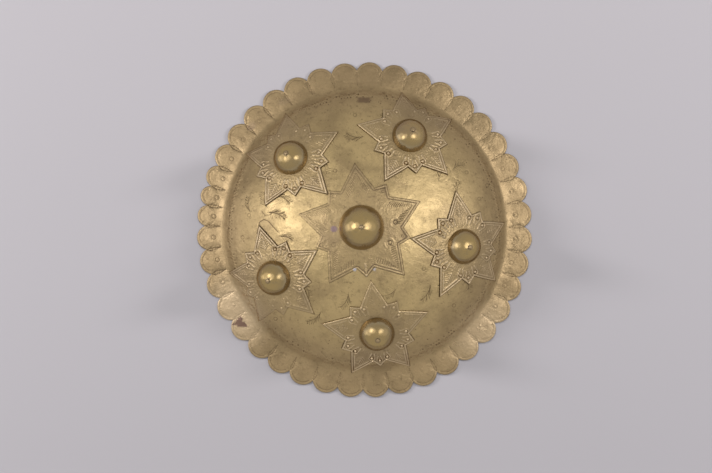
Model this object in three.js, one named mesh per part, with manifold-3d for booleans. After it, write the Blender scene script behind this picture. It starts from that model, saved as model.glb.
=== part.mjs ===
// Round shield of brass sheet, lying dome up on its flange. A domed body with a scalloped flange
// carries six star plates, six hollow bosses and the rivets that hold them down.
// Millimetres, +Z up. The origin is under the middle, on the plane that the flange lies on.
import * as THREE from "three";
import { mergeVertices } from "three/addons/utils/BufferGeometryUtils.js";
import Module from "manifold-3d";

const wasm = await Module();
wasm.setup();

const degrees = Math.PI / 180;

// Body: a shallow crown, a rounder shoulder, a small fillet at the crease and a flat flange
const sheet = 1.2;
const crownRadius = 330;
const shoulderStart = 100;
const domeRadius = 147;
const bandSlope = 45 * degrees;
const creaseRadius = 4;
const rimRadius = 175;
const trimAllowance = 1;

// Scallops, laid out by eye round the rim, so that the last few come out narrower
const scallops = 40;
const scallopDepth = 8.4;
const firstNotch = 1.1 * degrees;
const squeeze = 0.236;
const squeezedScallop = 18.1;
const squeezeSpread = 1.73;

// Star plates: five long points and five short ones, with a notch on each side of a short one.
// They were cut by eye, and two of the outer stars have longer points
const longPoints = 5;
const plate = 1.0;
const border = 1.8;
const borderHeight = 0.6;
const notchFromShort = 12 * degrees;
const outerLong = 55.5;
const outerLongest = 57.5;
const outerShort = 40.5;
const outerNotch = 33.6;
const centreLong = 65.5;
const centreShort = 50.5;
const centreNotch = 42;

// Pearls: one in each short point of an outer star and one on each side of it
const pearlRadius = 1.5;
const pearlHeight = 1.2;
const pearlReach = 32.5;
const sidePearlReach = 29.5;
const sidePearlTurn = 16 * degrees;

// Bosses, each a hollow cap whose foot follows the plate under it
const bossWall = 1.2;
const outerBossRadius = 18.2;
const outerBossHeight = 14.5;
const centreBossRadius = 22.8;
const centreBossHeight = 17.6;

// Rivets
const shankRadius = 1.5;
const headRadius = 2.35;
const headHeight = 1.2;
const tailRadius = 2.6;
const tailHeight = 1.0;

// Gap between pieces that touch, under a plate, over a rivet's tail, round a shank and between
// two plates' edges
const gap = 0.3;
const plateGap = 0.5;
const tailGap = 0.7;
const holeClearance = 0.3;
const plateClearance = 0.5;

// Where the stars sit: distance from the shield's axis, angle round it and turn of a long point.
// They were set out by eye, so three of the outer ones stand a little further in or out
const outerReach = 105.5;
const rightShift = -2.7;
const upperRightShift = 1;
const bottomShift = 1.8;
const centreReach = 4;
const stars = [
  { name: "right", reach: outerReach + rightShift, angle: -9.6, turn: 99.5, long: outerLongest },
  { name: "upper_right", reach: outerReach + upperRightShift, angle: 64.3, turn: 97, long: outerLong },
  { name: "upper_left", reach: outerReach, angle: 135.9, turn: 99.5, long: outerLong },
  { name: "lower_left", reach: outerReach, angle: 207.9, turn: 104, long: outerLong },
  { name: "bottom", reach: outerReach + bottomShift, angle: 276.7, turn: 96.5, long: outerLongest },
  { name: "centre", reach: centreReach, angle: 147, turn: 96, long: centreLong },
];

// Steps that the round shapes are cut into
const turnSteps = 48;
const crownSteps = 4;
const shoulderSteps = 3;
const creaseSteps = 2;
const lobeSteps = 3;
const longEdgeSteps = 2;
const layingStep = 1;
const bossTurnSteps = 16;
const bossSteps = 4;
const bossInnerSteps = 2;
const seatingSteps = 4;
const rivetTurnSteps = 8;
const pearlTurnSteps = 6;
const mergeDistance = 1e-4;

const brass = { color: 0xa08650, roughness: 0.36, metalness: 1 };
const wornBrass = { color: 0xb39a63, roughness: 0.3, metalness: 1 };
const smoothBrass = { color: 0x8f7640, roughness: 0.18, metalness: 1 };

// A closed geometry as a solid: its shared corners are merged and its flat triangles dropped
function solid(geometry) {
  const bare = geometry.clone();
  bare.deleteAttribute("normal");
  bare.deleteAttribute("uv");
  const merged = mergeVertices(bare, mergeDistance);
  const index = merged.index.array;
  const corners = [];
  for (let i = 0; i < index.length; i += 3) {
    const [a, b, c] = [index[i], index[i + 1], index[i + 2]];
    if (a !== b && b !== c && c !== a) {
      corners.push(a, b, c);
    }
  }
  const mesh = new wasm.Mesh({
    numProp: 3,
    vertProperties: Float32Array.from(merged.attributes.position.array),
    triVerts: Uint32Array.from(corners),
  });
  return new wasm.Manifold(mesh);
}

// A solid as a named mesh
function namedMesh(name, manifold, finish) {
  const { vertProperties, triVerts } = manifold.getMesh();
  const geometry = new THREE.BufferGeometry();
  geometry.setAttribute("position", new THREE.BufferAttribute(vertProperties, 3));
  geometry.setIndex(new THREE.BufferAttribute(triVerts, 1));
  geometry.computeVertexNormals();
  const mesh = new THREE.Mesh(geometry, new THREE.MeshStandardMaterial(finish));
  mesh.name = name;
  return mesh;
}

// A profile of [radius, height] points turned about the Z axis
function turned(profile, steps) {
  const points = profile.map(([r, z]) => new THREE.Vector2(r, z));
  return new THREE.LatheGeometry(points, steps).rotateX(Math.PI / 2);
}

// The body's outer surface: arcs of the crown, the shoulder and the crease, then the flat flange
const crownSlope = Math.asin(shoulderStart / crownRadius);
const shoulderRadius = (domeRadius - shoulderStart) / (Math.sin(bandSlope) - Math.sin(crownSlope));
const creaseEnd = domeRadius + creaseRadius * Math.sin(bandSlope);
const creaseDrop = creaseRadius * (1 - Math.cos(bandSlope));
const shoulderDrop = shoulderRadius * (Math.cos(crownSlope) - Math.cos(bandSlope));
const crownDrop = crownRadius * (1 - Math.cos(crownSlope));
const crownTop = sheet + creaseDrop + shoulderDrop + crownDrop;
const blankRadius = rimRadius + trimAllowance;

// Height and slope of the outer surface at a distance from the axis
function surfaceAt(r) {
  if (r <= shoulderStart) {
    const slope = Math.asin(r / crownRadius);
    return { z: crownTop - crownRadius * (1 - Math.cos(slope)), slope };
  }
  if (r <= domeRadius) {
    const slope = Math.asin(Math.sin(crownSlope) + (r - shoulderStart) / shoulderRadius);
    const drop = shoulderRadius * (Math.cos(crownSlope) - Math.cos(slope));
    return { z: crownTop - crownDrop - drop, slope };
  }
  if (r < creaseEnd) {
    const slope = Math.asin((creaseEnd - r) / creaseRadius);
    return { z: sheet + creaseRadius * (1 - Math.cos(slope)), slope };
  }
  return { z: sheet, slope: 0 };
}

// The section of a surface that lies a distance out from the body's outer surface
function sectionAt(distance) {
  const reaches = [];
  for (let i = 0; i <= crownSteps; i += 1) {
    reaches.push((shoulderStart * i) / crownSteps);
  }
  for (let i = 1; i <= shoulderSteps; i += 1) {
    const slope = crownSlope + ((bandSlope - crownSlope) * i) / shoulderSteps;
    reaches.push(shoulderStart + shoulderRadius * (Math.sin(slope) - Math.sin(crownSlope)));
  }
  for (let i = 1; i <= creaseSteps; i += 1) {
    reaches.push(creaseEnd - creaseRadius * Math.sin(bandSlope * (1 - i / creaseSteps)));
  }
  reaches.push(blankRadius);
  return reaches.map((r) => {
    const { z, slope } = surfaceAt(r);
    return [r + distance * Math.sin(slope), z + distance * Math.cos(slope)];
  });
}

// The scalloped outline: one arc for each scallop, through its two notches and its top
function scallopedOutline() {
  const widths = [];
  for (let i = 0; i < scallops; i += 1) {
    widths.push(1 - squeeze * Math.exp(-(((i - squeezedScallop) / squeezeSpread) ** 2)));
  }
  const total = widths.reduce((sum, width) => sum + width, 0);
  const notchRadius = rimRadius - scallopDepth;
  const shape = new THREE.Shape();
  let start = firstNotch;
  shape.moveTo(notchRadius * Math.cos(start), notchRadius * Math.sin(start));
  for (const width of widths) {
    const pitch = (width / total) * 2 * Math.PI;
    const middle = start + pitch / 2;
    const halfChord = notchRadius * Math.sin(pitch / 2);
    const rise = rimRadius - notchRadius * Math.cos(pitch / 2);
    const arcRadius = (halfChord ** 2 + rise ** 2) / (2 * rise);
    const reach = rimRadius - arcRadius;
    const halfTurn = Math.atan2(halfChord, notchRadius * Math.cos(pitch / 2) - reach);
    shape.absarc(
      reach * Math.cos(middle),
      reach * Math.sin(middle),
      arcRadius,
      middle - halfTurn,
      middle + halfTurn,
      false,
    );
    start += pitch;
  }
  return shape;
}

// A star's corners, counterclockwise from the long point at the given turn
function starCorners(long, short, notch, turn) {
  const step = Math.PI / longPoints;
  const corners = [];
  for (let i = 0; i < longPoints; i += 1) {
    const longAt = turn + 2 * i * step;
    const shortAt = longAt + step;
    corners.push([long, longAt]);
    corners.push([notch, shortAt - notchFromShort]);
    corners.push([short, shortAt]);
    corners.push([notch, shortAt + notchFromShort]);
  }
  return corners.map(([r, angle]) => new THREE.Vector2(r * Math.cos(angle), r * Math.sin(angle)));
}

// The same corners with every edge moved in by a distance, or out by a negative one
function movedIn(corners, distance) {
  const count = corners.length;
  return corners.map((corner, i) => {
    const before = corner.clone().sub(corners[(i + count - 1) % count]).normalize();
    const after = corners[(i + 1) % count].clone().sub(corner).normalize();
    const inward = new THREE.Vector2(-before.y - after.y, before.x + after.x);
    return corner.clone().addScaledVector(inward, distance / (1 + before.dot(after)));
  });
}

// The corners with the long points' edges cut into steps, so that they can bend over the body.
// The edges before and after each long point's corner are the long ones
function divided(corners) {
  const cornersPerPoint = corners.length / longPoints;
  const points = [];
  corners.forEach((corner, i) => {
    const next = corners[(i + 1) % corners.length];
    const afterLong = i % cornersPerPoint;
    const steps = afterLong === 0 || afterLong === cornersPerPoint - 1 ? longEdgeSteps : 1;
    for (let k = 0; k < steps; k += 1) {
      points.push(corner.clone().lerp(next, k / steps));
    }
  });
  return points;
}

// Where a star sits: on the body's outer surface, with its Z axis along the surface's normal
function starPlace({ reach, angle }) {
  const { z, slope } = surfaceAt(reach);
  const place = new THREE.Group();
  place.rotation.set(0, slope, angle * degrees, "ZYX");
  place.position.set(reach * Math.cos(angle * degrees), reach * Math.sin(angle * degrees), z);
  place.updateMatrixWorld();
  return place;
}

// A point of a flat plate, laid on the body at a height: its distance from the star's middle is
// measured along the curved surface, as when a flat sheet is beaten down on the dome
function laid(star, point, height) {
  const start = starPlace(star).position;
  const heading = new THREE.Vector2(point.x * Math.cos(surfaceAt(star.reach).slope), point.y);
  heading.normalize().rotateAround(new THREE.Vector2(), star.angle * degrees);
  const at = new THREE.Vector2(start.x, start.y);
  for (let left = point.length(); left > 0; left -= layingStep) {
    const fall = Math.tan(surfaceAt(at.length()).slope) * at.clone().normalize().dot(heading);
    at.addScaledVector(heading, Math.min(left, layingStep) / Math.hypot(1, fall));
  }
  const { z, slope } = surfaceAt(at.length());
  const outward = at.clone().normalize().multiplyScalar(height * Math.sin(slope));
  return new THREE.Vector3(at.x + outward.x, at.y + outward.y, z + height * Math.cos(slope));
}

// A plate's blank is a turned washer. Its rings, each a closed line of points with a height, are
// drawn out into the star and laid on the body
function laidWasher(star, rings) {
  const columns = rings[0].points.length;
  const blank = rings.map(({ height }) => new THREE.Vector2(1, height));
  const geometry = new THREE.LatheGeometry(blank, columns);
  const positions = geometry.attributes.position;
  for (let i = 0; i <= columns; i += 1) {
    rings.forEach(({ points, height }, j) => {
      const spot = laid(star, points[i % columns], height);
      positions.setXYZ(i * rings.length + j, spot.x, spot.y, spot.z);
    });
  }
  return geometry;
}

function cornersOf(star) {
  const turn = (star.turn - star.angle) * degrees;
  if (star.name === "centre") {
    return starCorners(star.long, centreShort, centreNotch, turn);
  }
  return starCorners(star.long, outerShort, outerNotch, turn);
}

function bossSize(star) {
  if (star.name === "centre") {
    return { footRadius: centreBossRadius, height: centreBossHeight };
  }
  return { footRadius: outerBossRadius, height: outerBossHeight };
}

// The star plate with its raised border, and a hole for the rivet
const plateTop = plateGap + plate;
function starPlate(star) {
  const corners = cornersOf(star);
  const edge = divided(corners);
  const inside = divided(movedIn(corners, border));
  const circle = (radius) => inside.map((point) => point.clone().setLength(radius));
  const hole = circle(shankRadius + holeClearance);
  const foot = circle(bossSize(star).footRadius);
  const between = (share) => foot.map((point, i) => point.clone().lerp(inside[i], share));
  const ridge = plateTop + borderHeight;
  const lines = [
    [hole, plateGap], [foot, plateGap], [between(2 / 5), plateGap], [between(3 / 4), plateGap],
    [edge, plateGap],
    [edge, ridge], [inside, ridge],
    [inside, plateTop], [between(1 / 2), plateTop], [foot, plateTop], [hole, plateTop],
    [hole, plateGap],
  ];
  return solid(laidWasher(star, lines.map(([points, height]) => ({ points, height }))));
}

// Three pearls at each short point, square to the plate and reaching a little into it
function pearls(star) {
  const root = plate / 2;
  const rootRadius = (pearlRadius * (root + pearlHeight)) / pearlHeight;
  const profile = [[0, -root], [rootRadius, -root], [0, pearlHeight]];
  const beads = [];
  for (let i = 0; i < longPoints; i += 1) {
    const shortAt = (star.turn - star.angle) * degrees + (2 * i + 1) * (Math.PI / longPoints);
    const spots = [
      [pearlReach, shortAt],
      [sidePearlReach, shortAt - sidePearlTurn],
      [sidePearlReach, shortAt + sidePearlTurn],
    ];
    for (const [r, angle] of spots) {
      const spot = laid(star, new THREE.Vector2(r * Math.cos(angle), r * Math.sin(angle)), 0);
      const around = Math.atan2(spot.y, spot.x) / degrees;
      const foot = starPlace({ reach: Math.hypot(spot.x, spot.y), angle: around });
      const bead = turned(profile, pearlTurnSteps).translate(0, 0, plateTop);
      beads.push(solid(bead.applyMatrix4(foot.matrixWorld)));
    }
  }
  return wasm.Manifold.union(beads);
}

// A straight prism across the body, round a plate and its clearance, which trims later plates
function trimmer(star, place) {
  const corners = movedIn(cornersOf(star), -plateClearance);
  const geometry = new THREE.ExtrudeGeometry(new THREE.Shape(corners), {
    depth: 2 * crownTop,
    bevelEnabled: false,
  });
  return solid(geometry.translate(0, 0, -crownTop).applyMatrix4(place.matrixWorld));
}

// The height above a star's middle, along its axis, of a spot that seats on the plate
function seatHeight(place, x, y) {
  const wanted = plateTop + gap;
  let height = wanted;
  for (let i = 0; i < seatingSteps; i += 1) {
    const spot = new THREE.Vector3(x, y, height).applyMatrix4(place.matrixWorld);
    const { z, slope } = surfaceAt(Math.hypot(spot.x, spot.y));
    height += wanted - (spot.z - z) * Math.cos(slope);
  }
  return height;
}

// A boss is a hollow cap of a sphere, open below, with a hole for its rivet at the top. Its foot
// is drawn down to follow the plate
function boss(star, place) {
  const { footRadius, height } = bossSize(star);
  const outerSphere = (footRadius ** 2 + height ** 2) / (2 * height);
  const middle = plateTop + gap + height - outerSphere;
  const holeRadius = shankRadius + holeClearance;
  const arc = (radius, steps) => {
    const low = Math.asin((outerSphere - height) / radius);
    const high = Math.acos(holeRadius / radius);
    const points = [];
    for (let i = 0; i <= steps; i += 1) {
      const angle = low + ((high - low) * i) / steps;
      points.push([radius * Math.cos(angle), middle + radius * Math.sin(angle)]);
    }
    return points;
  };
  const outer = arc(outerSphere, bossSteps);
  const inner = arc(outerSphere - bossWall, bossInnerSteps).reverse();
  const profile = [...outer, ...inner, outer[0]];
  const geometry = turned(profile, bossTurnSteps);
  const positions = geometry.attributes.position;
  const feet = [0, profile.length - 2, profile.length - 1];
  for (let i = 0; i <= bossTurnSteps; i += 1) {
    for (const foot of feet) {
      const vertex = i * profile.length + foot;
      const [x, y] = [positions.getX(vertex), positions.getY(vertex)];
      positions.setZ(vertex, seatHeight(place, x, y));
    }
  }
  return solid(geometry);
}

// A rivet: peened tail under the body, shank through it, and a small domed head on the boss
function rivet(star) {
  const tailTop = -sheet - tailGap;
  const seat = plateTop + gap + bossSize(star).height + gap;
  return solid(turned(
    [
      [0, tailTop - tailHeight], [tailRadius, tailTop - tailHeight / 2], [tailRadius, tailTop],
      [shankRadius, tailTop], [shankRadius, seat],
      [headRadius, seat], [headRadius, seat + headHeight / 3], [0, seat + headHeight],
    ],
    rivetTurnSteps,
  ));
}

// The body: the domed sheet trimmed to the scallops, with a hole for each rivet
function body(places) {
  const section = [...sectionAt(-sheet), ...sectionAt(0).reverse()];
  const outline = new THREE.ExtrudeGeometry(scallopedOutline(), {
    depth: 3 * crownTop,
    bevelEnabled: false,
    curveSegments: lobeSteps,
  });
  let metal = solid(turned(section, turnSteps)).intersect(solid(outline.translate(0, 0, -crownTop)));
  const radius = shankRadius + holeClearance;
  for (const place of places) {
    const rod = new THREE.CylinderGeometry(radius, radius, crownTop, rivetTurnSteps);
    metal = metal.subtract(solid(rod.rotateX(Math.PI / 2).applyMatrix4(place.matrixWorld)));
  }
  return metal;
}

const shield = new THREE.Group();
const places = stars.map(starPlace);
shield.add(namedMesh("shield_body", body(places), brass));

const laidBefore = [];
stars.forEach((star, i) => {
  const place = places[i];
  let metal = starPlate(star);
  if (star.name !== "centre") {
    metal = metal.add(pearls(star));
  }
  for (const other of laidBefore) {
    metal = metal.subtract(other);
  }
  laidBefore.push(trimmer(star, place));
  shield.add(namedMesh(`star_plate_${star.name}`, metal, wornBrass));
  place.add(namedMesh(`boss_${star.name}`, boss(star, place), smoothBrass));
  place.add(namedMesh(`rivet_${star.name}`, rivet(star), smoothBrass));
  shield.add(place);
});

export default shield;
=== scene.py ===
# A round shield of beaten brass sheet, lying dome up on its scalloped flange
import math

import bpy
import numpy as np
from mathutils import Matrix, Vector, kdtree
from mathutils.geometry import delaunay_2d_cdt


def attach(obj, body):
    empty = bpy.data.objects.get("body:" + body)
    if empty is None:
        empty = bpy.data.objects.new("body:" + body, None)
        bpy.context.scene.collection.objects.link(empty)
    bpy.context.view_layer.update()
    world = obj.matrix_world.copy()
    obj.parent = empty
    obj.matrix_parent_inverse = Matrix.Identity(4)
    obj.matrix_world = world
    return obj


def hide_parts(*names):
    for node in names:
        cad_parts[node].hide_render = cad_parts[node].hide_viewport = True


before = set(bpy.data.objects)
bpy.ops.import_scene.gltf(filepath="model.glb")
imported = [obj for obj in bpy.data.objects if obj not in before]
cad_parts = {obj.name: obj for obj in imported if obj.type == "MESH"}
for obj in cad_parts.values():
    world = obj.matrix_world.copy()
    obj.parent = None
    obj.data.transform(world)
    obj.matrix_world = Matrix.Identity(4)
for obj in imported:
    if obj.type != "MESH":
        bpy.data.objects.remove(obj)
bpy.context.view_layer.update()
bpy.ops.object.select_all(action="DESELECT")

# The body
# One sheet of brass, raised into a dome and left flat for a flange, whose edge was cut into
# scallops by eye. Its face was then chased with lines and leaves and punched with rings and dots.
MM = 0.001
degrees = math.pi / 180
sheet = 1.2
crown_radius = 330.0
shoulder_start = 100.0
dome_radius = 147.0
band_slope = 45 * degrees
crease_radius = 4.0
rim_radius = 175.0

scallops = 40
scallop_depth = 8.4
first_notch = 1.1 * degrees
squeeze = 0.236
squeezed_scallop = 18.1
squeeze_spread = 1.73

crown_slope = math.asin(shoulder_start / crown_radius)
shoulder_radius = (dome_radius - shoulder_start) / (math.sin(band_slope) - math.sin(crown_slope))
crease_end = dome_radius + crease_radius * math.sin(band_slope)
crease_drop = crease_radius * (1 - math.cos(band_slope))
shoulder_drop = shoulder_radius * (math.cos(crown_slope) - math.cos(band_slope))
crown_drop = crown_radius * (1 - math.cos(crown_slope))
crown_top = sheet + crease_drop + shoulder_drop + crown_drop


def surface(r):
    """Height and slope of the sheet's smooth face at distances from the axis"""
    on_crown = np.arcsin(np.clip(r / crown_radius, 0, 1))
    sine = math.sin(crown_slope) + (r - shoulder_start) / shoulder_radius
    on_shoulder = np.arcsin(np.clip(sine, 0, 1))
    on_crease = np.arcsin(np.clip((crease_end - r) / crease_radius, 0, 1))
    slope = np.select([r <= shoulder_start, r <= dome_radius], [on_crown, on_shoulder], on_crease)
    crown_z = crown_top - crown_radius * (1 - np.cos(on_crown))
    shoulder_z = crown_top - crown_drop
    shoulder_z = shoulder_z - shoulder_radius * (math.cos(crown_slope) - np.cos(on_shoulder))
    crease_z = sheet + crease_radius * (1 - np.cos(on_crease))
    z = np.select([r <= shoulder_start, r <= dome_radius], [crown_z, shoulder_z], crease_z)
    return z, slope


# Hammering left the dome a little uneven: long soft waves and shorter ones across them, which die
# away towards the rim
long_wave, short_wave = 0.22, 0.07
calm_width, calm_share = 25, 0.15


def uneven(x, y):
    long_waves = np.sin(x / 19 + 0.8) * np.sin(y / 23 - 0.4) + 0.6 * np.sin(x / 31 - y / 27)
    short_waves = np.sin(x / 8.3 + 0.13 * y + 1.1) * np.sin(y / 9.1 - 0.07 * x)
    fade = np.clip((rim_radius - np.hypot(x, y)) / calm_width, calm_share, 1)
    return fade * (long_wave * long_waves + short_wave * short_waves)


def on_body(points, heights):
    """Points of the plan, set a height above the sheet's face, square to it"""
    r = np.hypot(points[:, 0], points[:, 1])
    z, slope = surface(r)
    out = points / np.maximum(r, 1e-6)[:, None] * (heights * np.sin(slope))[:, None]
    return np.column_stack([points + out, z + heights * np.cos(slope)])


def spaced(path, step):
    """A line's points at even steps"""
    lengths = np.hypot(*np.diff(path, axis=0).T)
    along = np.concatenate([[0], np.cumsum(lengths)])
    count = max(2, round(along[-1] / step) + 1)
    wanted = np.linspace(0, along[-1], count)
    return np.column_stack([np.interp(wanted, along, path[:, k]) for k in (0, 1)])


def polar(r, angle):
    return np.column_stack([r * np.cos(angle), r * np.sin(angle)])


def turned(points, angle):
    c, s = math.cos(angle), math.sin(angle)
    return points @ np.array([[c, s], [-s, c]])


# A chased line is a path with a width and a depth, and a punched dot a middle with a radius and
# a depth. A negative depth raises either from behind
guide_step = 0.7


def line_guides(path, width):
    """Mesh points along a chased line, over its foot, its flanks and its bottom"""
    fine = spaced(path, guide_step)
    along = np.gradient(fine, axis=0)
    across = np.column_stack([-along[:, 1], along[:, 0]])
    across /= np.maximum(np.hypot(*across.T), 1e-9)[:, None]
    return np.concatenate([fine + across * width * share for share in (0, -0.5, 0.5)])


def dot_guides(middle, radius):
    around = np.linspace(0, 2 * math.pi, 10, endpoint=False)
    rings = [polar(radius * share, around + share) for share in (0.5, 1.0)]
    return np.concatenate([[[0, 0]], *rings]) + middle


def pressed(points, lines, dots):
    """How far each point lies above the smooth face, after all lines and dots are pressed in"""
    relief = np.zeros(len(points))
    order = np.argsort(points[:, 0])
    columns = points[order, 0]

    def around(low, high):
        first, last = np.searchsorted(columns, (low[0], high[0]))
        some = order[first:last]
        return some[(points[some, 1] > low[1]) & (points[some, 1] < high[1])]

    for path, width, depth in lines:
        close = around(path.min(0) - width, path.max(0) + width)
        nearest = np.full(len(close), np.inf)
        for a, b in zip(path[:-1], path[1:]):
            ab = b - a
            share = np.clip((points[close] - a) @ ab / max(ab @ ab, 1e-9), 0, 1)
            nearest = np.minimum(nearest, np.hypot(*(points[close] - a - share[:, None] * ab).T))
        wall = np.clip(1 - nearest / (width / 2), 0, 1)
        relief[close] -= depth * wall * wall * (3 - 2 * wall)
    for middle, radius, depth in dots:
        close = around(middle - radius, middle + radius)
        away = np.hypot(*(points[close] - middle).T) / radius
        relief[close] -= depth * np.sqrt(np.clip(1 - away * away, 0, 1))
    return relief


def ground(reach, step):
    """Even rows of points, each second row shifted by half a step"""
    rows = np.arange(-reach, reach, step * math.sqrt(3) / 2)
    columns = np.arange(-reach, reach, step)
    x, y = np.meshgrid(columns, rows)
    x = x + (np.arange(len(rows)) % 2)[:, None] * step / 2
    return np.column_stack([x.ravel(), y.ravel()])


def thinned(points, room):
    """The points, with only the first of those that share a small cell"""
    cells = np.round(points / room).astype(int)
    first = np.unique(cells, axis=0, return_index=True)[1]
    return points[np.sort(first)]


def clear_of(points, others, room):
    """Those points that keep the room to all the others"""
    tree = kdtree.KDTree(len(others))
    for i, (x, y) in enumerate(others):
        tree.insert((x, y, 0), i)
    tree.balance()
    return points[[tree.find((x, y, 0))[2] > room for x, y in points]]


def within(points, outline, margin=0.0):
    """Whether points lie inside a closed line that is seen whole from the origin"""
    start = math.atan2(outline[0, 1], outline[0, 0])
    corners = (np.arctan2(outline[:, 1], outline[:, 0]) - start) % (2 * math.pi)
    corners[0] = 0
    turn = (np.arctan2(points[:, 1], points[:, 0]) - start) % (2 * math.pi)
    i = np.clip(np.searchsorted(corners, turn, side="right") - 1, 0, len(outline) - 1)
    a, b = outline[i], outline[(i + 1) % len(outline)]
    edge = b - a
    away = edge[:, 0] * (points - a)[:, 1] - edge[:, 1] * (points - a)[:, 0]
    return away / np.hypot(*edge.T) > margin


# Stains that stay as they are, two small pale grey spots, and broad patches of painted light and
# shade on the flange, each with its middle in the plan, its half widths, its turn, its corners (0
# for a round one) and its colour and strength
stains_and_painted_light = [
    ((-0.6, 134.3), (9.4, 4.2), 0, 4, (0.14, 0.085, 0.055), 0.64),
    ((-130.0, -97.0), (9.0, 6.4), 172, 3, (0.17, 0.10, 0.08), 0.72),
    ((-31.1, 0.6), (3.6, 3.2), 0, 0, (0.26, 0.18, 0.19), 0.75),
    # Two small pale grey spots at the notches beside the middle star's lowest short point
    ((-10.1, -40.6), (1.9, 1.5), 20, 0, (0.62, 0.60, 0.62), 0.85),
    ((10.3, -40.6), (1.7, 1.5), 0, 0, (0.62, 0.60, 0.62), 0.8),
    ((43.5, 102.0), (15.0, 8.0), -10, 0, (0.30, 0.21, 0.15), 0.4),
    ((-118.0, 108.0), (6.0, 4.0), 40, 0, (0.26, 0.18, 0.13), 0.35),
    ((-84.0, 134.0), (7.0, 4.0), 20, 0, (0.24, 0.17, 0.12), 0.3),
    ((-93.0, 36.0), (8.0, 6.0), 10, 0, (0.26, 0.18, 0.12), 0.25),
    # Painted light: lighter brass on the flange at the lower right and the lower left. Painted
    # shade: darker brass on the flange along the top and at the upper right
    ((122.0, -106.0), (24.0, 38.0), -40, 0, (0.60, 0.45, 0.27), 0.5),
    ((-132.0, -86.0), (22.0, 36.0), 30, 0, (0.60, 0.45, 0.27), 0.7),
    ((14.0, 163.0), (70.0, 14.0), 0, 0, (0.28, 0.20, 0.105), 0.6),
    ((118.0, 118.0), (24.0, 34.0), 40, 0, (0.29, 0.21, 0.11), 0.5),
]


small_patch = 12
small_softness, large_softness = 0.5, 0.9
raggedness = 0.12
corner_reach = 1.35


def patch_colours(spots, patches):
    """The colour and strength of the stains and of the painted light and shade at each spot"""
    colours = np.zeros((len(spots), 4))
    for middle, halves, turn, corners, colour, strength in patches:
        flat = turned(spots[:, :2] - middle, -turn * degrees) / halves
        ragged = raggedness * np.sin(spots[:, 0] * 1.7) * np.sin(spots[:, 1] * 2.1)
        away = np.hypot(*flat.T)
        if corners:
            sides = np.arange(corners) * 2 * math.pi / corners + math.pi / 2
            away = (flat @ np.array([np.cos(sides), np.sin(sides)])).max(1) * corner_reach
        soft = small_softness if max(halves) < small_patch else large_softness
        share = np.clip((1 + soft / 2 + ragged - away) / soft, 0, 1) * strength
        share = share * share * (3 - 2 * share)
        wins = share > colours[:, 3]
        colours[wins] = np.column_stack([np.tile(colour, (wins.sum(), 1)), share[wins]])
    return colours


hole_sides = 16


def cut_sheet(name, outline, holes, face, under, place_face, place_under):
    """A closed piece of sheet: its face and its underside through their points, and its edges"""
    around = np.linspace(0, 2 * math.pi, hole_sides, endpoint=False)
    rims = [np.array(middle) + polar(radius, around) for middle, radius in holes]
    loops = [outline, *rims]
    edges, start = [], 0
    for loop in loops:
        turn = np.arange(len(loop))
        edges += [(start + i, start + (i + 1) % len(loop)) for i in turn.tolist()]
        start += len(loop)
    vertices, faces, marks, patches = [], [], [], []
    under_start = start + len(face)
    for side, (inner, place) in enumerate(((face, place_face), (under, place_under))):
        points = np.concatenate([*loops, inner])
        flat = [Vector(point) for point in points.tolist()]
        _, _, triangles, came_from, _, _ = delaunay_2d_cdt(flat, edges, [], 0, 1e-6)
        source = np.array([origin[0] if origin else 0 for origin in came_from])
        triangles = source[np.array(triangles)]
        middles = points[triangles].mean(1)
        keep = within(middles, outline)
        for middle, radius in holes:
            keep &= np.hypot(*(middles - middle).T) > radius * math.cos(math.pi / hole_sides)
        triangles = triangles[keep]
        offset = len(vertices)
        spots, relief = place(points)
        vertices += spots.tolist()
        marks += relief.tolist()
        patches.append(patch_colours(spots, stains_and_painted_light if side == 0 else []))
        if side:
            triangles = triangles[:, ::-1]
        faces += (triangles + offset).tolist()
    start = 0
    for k, loop in enumerate(loops):
        for i in range(len(loop)):
            a, b = start + i, start + (i + 1) % len(loop)
            wall = [a, a + under_start, b + under_start, b]
            faces.append(wall if k == 0 else wall[::-1])
        start += len(loop)
    mesh = bpy.data.meshes.new(name)
    mesh.from_pydata((np.array(vertices) * MM).tolist(), [], faces)
    mesh.attributes.new("relief", "FLOAT", "POINT").data.foreach_set("value", marks)
    patch = mesh.attributes.new("patch", "FLOAT_COLOR", "POINT")
    patch.data.foreach_set("color", np.concatenate(patches).ravel())
    piece = bpy.data.objects.new(name, mesh)
    bpy.context.collection.objects.link(piece)
    bpy.context.view_layer.objects.active = piece
    piece.select_set(True)
    bpy.ops.object.mode_set(mode="EDIT")
    bpy.ops.mesh.select_all(action="SELECT")
    bpy.ops.mesh.normals_make_consistent(inside=False)
    bpy.ops.object.mode_set(mode="OBJECT")
    bpy.ops.object.shade_smooth_by_angle(angle=50 * degrees)
    bpy.ops.object.select_all(action="DESELECT")
    return piece


# The scallops' arcs, from notch to notch. The last few came out narrower
widths = 1 - squeeze * np.exp(-(((np.arange(scallops) - squeezed_scallop) / squeeze_spread) ** 2))
pitches = widths / widths.sum() * 2 * math.pi
notches = first_notch + np.concatenate([[0], np.cumsum(pitches)[:-1]])
notch_radius = rim_radius - scallop_depth


def scallop_arc(i, inset, count):
    """Points of a scallop's edge, or of a line inside it, from one notch's radius to the next"""
    half = pitches[i] / 2
    rise = rim_radius - notch_radius * math.cos(half)
    arc = ((notch_radius * math.sin(half)) ** 2 + rise**2) / (2 * rise)
    reach = rim_radius - arc
    sweep = math.atan2(notch_radius * math.sin(half), notch_radius * math.cos(half) - reach)
    points = polar(arc - inset, np.linspace(-sweep, sweep, count)) + (reach, 0)
    return turned(points, notches[i] + half)


outline = np.concatenate([scallop_arc(i, 0, 32)[:-1] for i in range(scallops)])

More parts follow.
